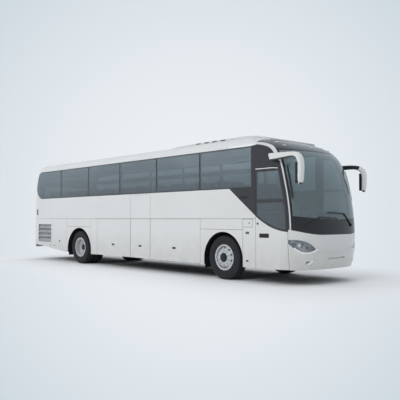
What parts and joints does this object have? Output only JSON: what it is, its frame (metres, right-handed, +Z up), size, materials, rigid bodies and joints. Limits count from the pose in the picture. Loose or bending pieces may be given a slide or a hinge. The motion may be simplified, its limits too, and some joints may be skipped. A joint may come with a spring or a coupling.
{
  "type": "coach bus",
  "caption": "Twelve metre touring coach with steered front wheels, twin rear wheels, a swing-out passenger door, luggage flaps, an engine door and a roof hatch.",
  "frame": {"origin": "on the ground under the middle of the whole outline", "axes": "+X forward, +Y the coach's left, +Z up"},
  "size_m": [12.097, 2.91, 3.4278],
  "materials": {
    "white_paint": "gloss",
    "dark_paint": "gloss",
    "tinted_glass": "gloss",
    "clear_glass": "gloss",
    "red_lens": "gloss",
    "lamp_lens": "gloss",
    "tyre": "matt",
    "rim_metal": "satin",
    "chassis_paint": "matt",
    "axle_iron": "matt",
    "black_rubber": "matt",
    "grey_plastic": "matt",
    "black_plastic": "matt",
    "floor_vinyl": "matt",
    "hold_sheet": "satin",
    "seat_fabric": "woven",
    "engine_iron": "matt"
  },
  "bodies": {
    "coach_body": {"roof": "white_paint", "front_cap": "dark_paint", "windshield_frame": "white_paint", "windshield": "tinted_glass", "front_fascia": "white_paint", "front_lamps": "lamp_lens", "right_side_wall": "white_paint", "left_side_wall": "white_paint", "right_skirt": "white_paint", "left_skirt": "white_paint", "side_windows": "tinted_glass", "rearmost_side_windows": "tinted_glass", "dark_side_panels": "dark_paint", "side_grille": "grey_plastic", "rear_wall": "white_paint", "rear_bumper": "white_paint", "rear_window": "tinted_glass", "tail_lamps": "red_lens", "saloon_floor": "floor_vinyl", "luggage_hold": "hold_sheet", "entrance_steps": "floor_vinyl", "wheel_housings": "chassis_paint", "chassis_rails": "chassis_paint", "tow_eyes": "chassis_paint", "engine": "engine_iron", "front_axle": "axle_iron", "rear_axle": "axle_iron", "air_springs": "black_rubber", "roof_unit": "white_paint", "seats_right": "seat_fabric", "seats_left": "seat_fabric", "driver_seat": "seat_fabric", "parcel_racks": "grey_plastic", "dashboard": "black_plastic", "steering_wheel": "black_plastic", "mirrors": "white_paint", "wipers": "black_plastic"},
    "door_arm": {"door_arm": "chassis_paint"},
    "door_leaf": {"passenger_door": "white_paint", "passenger_door_glass": "tinted_glass"},
    "flap_right_front": {"luggage_flap_right_front": "white_paint"},
    "flap_right_middle": {"luggage_flap_right_middle": "white_paint"},
    "flap_right_rear": {"luggage_flap_right_rear": "white_paint"},
    "flap_left_front": {"luggage_flap_left_front": "white_paint"},
    "flap_left_middle": {"luggage_flap_left_middle": "white_paint"},
    "flap_left_rear": {"luggage_flap_left_rear": "white_paint"},
    "engine_door": {"engine_door": "white_paint"},
    "roof_hatch": {"roof_hatch": "white_paint"},
    "knuckle_right": {"knuckle_right": "axle_iron"},
    "wheel_front_right": {"tyre_front_right": "tyre", "rim_front_right": "rim_metal"},
    "wheels_rear_right": {"tyres_rear_right": "tyre", "rims_rear_right": "rim_metal"},
    "knuckle_left": {"knuckle_left": "axle_iron"},
    "wheel_front_left": {"tyre_front_left": "tyre", "rim_front_left": "rim_metal"},
    "wheels_rear_left": {"tyres_rear_left": "tyre", "rims_rear_left": "rim_metal"}
  },
  "joints": [
    {"name": "steer_left", "type": "hinge", "parent": "coach_body", "child": "knuckle_left", "pos_m": [3.6, 0.93, 0.52], "axis": [0, 0, 1], "range_deg": [-38, 38]},
    {"name": "spin_front_left", "type": "hinge", "parent": "knuckle_left", "child": "wheel_front_left", "pos_m": [3.6, 1.075, 0.52], "axis": [0, 1, 0], "continuous": true},
    {"name": "spin_rear_left", "type": "hinge", "parent": "coach_body", "child": "wheels_rear_left", "pos_m": [-2.9, 0.91, 0.52], "axis": [0, 1, 0], "continuous": true},
    {"name": "steer_right", "type": "hinge", "parent": "coach_body", "child": "knuckle_right", "pos_m": [3.6, -0.93, 0.52], "axis": [0, 0, 1], "range_deg": [-38, 38]},
    {"name": "spin_front_right", "type": "hinge", "parent": "knuckle_right", "child": "wheel_front_right", "pos_m": [3.6, -1.075, 0.52], "axis": [0, 1, 0], "continuous": true},
    {"name": "spin_rear_right", "type": "hinge", "parent": "coach_body", "child": "wheels_rear_right", "pos_m": [-2.9, -0.91, 0.52], "axis": [0, 1, 0], "continuous": true},
    {"name": "door_swing", "type": "hinge", "parent": "coach_body", "child": "door_arm", "pos_m": [5.36, -1.1, 1], "axis": [0, 0, 1], "range_deg": [0, 110]},
    {"name": "door_level", "type": "hinge", "parent": "door_arm", "child": "door_leaf", "pos_m": [4.84, -1.1, 1], "axis": [0, 0, 1], "range_deg": [-110, 0]},
    {"name": "flap_right_front_lift", "type": "hinge", "parent": "coach_body", "child": "flap_right_front", "pos_m": [1.815, -1.25, 1.423], "axis": [-1, 0, 0], "range_deg": [0, 85]},
    {"name": "flap_right_middle_lift", "type": "hinge", "parent": "coach_body", "child": "flap_right_middle", "pos_m": [0.35, -1.25, 1.423], "axis": [-1, 0, 0], "range_deg": [0, 85]},
    {"name": "flap_right_rear_lift", "type": "hinge", "parent": "coach_body", "child": "flap_right_rear", "pos_m": [-0.975, -1.25, 1.423], "axis": [-1, 0, 0], "range_deg": [0, 85]},
    {"name": "flap_left_front_lift", "type": "hinge", "parent": "coach_body", "child": "flap_left_front", "pos_m": [1.815, 1.25, 1.423], "axis": [1, 0, 0], "range_deg": [0, 85]},
    {"name": "flap_left_middle_lift", "type": "hinge", "parent": "coach_body", "child": "flap_left_middle", "pos_m": [0.35, 1.25, 1.423], "axis": [1, 0, 0], "range_deg": [0, 85]},
    {"name": "flap_left_rear_lift", "type": "hinge", "parent": "coach_body", "child": "flap_left_rear", "pos_m": [-0.975, 1.25, 1.423], "axis": [1, 0, 0], "range_deg": [0, 85]},
    {"name": "engine_door_lift", "type": "hinge", "parent": "coach_body", "child": "engine_door", "pos_m": [-6.048, 0, 1.553], "axis": [0, 1, 0], "range_deg": [0, 75]},
    {"name": "roof_hatch_lift", "type": "hinge", "parent": "coach_body", "child": "roof_hatch", "pos_m": [-1.53, 0, 3.3643], "axis": [0, 1, 0], "range_deg": [0, 32]}
  ],
  "couplings": [
    {"joint": "steer_right", "follows": "steer_left", "ratio": 1},
    {"joint": "door_level", "follows": "door_swing", "ratio": -1}
  ]
}
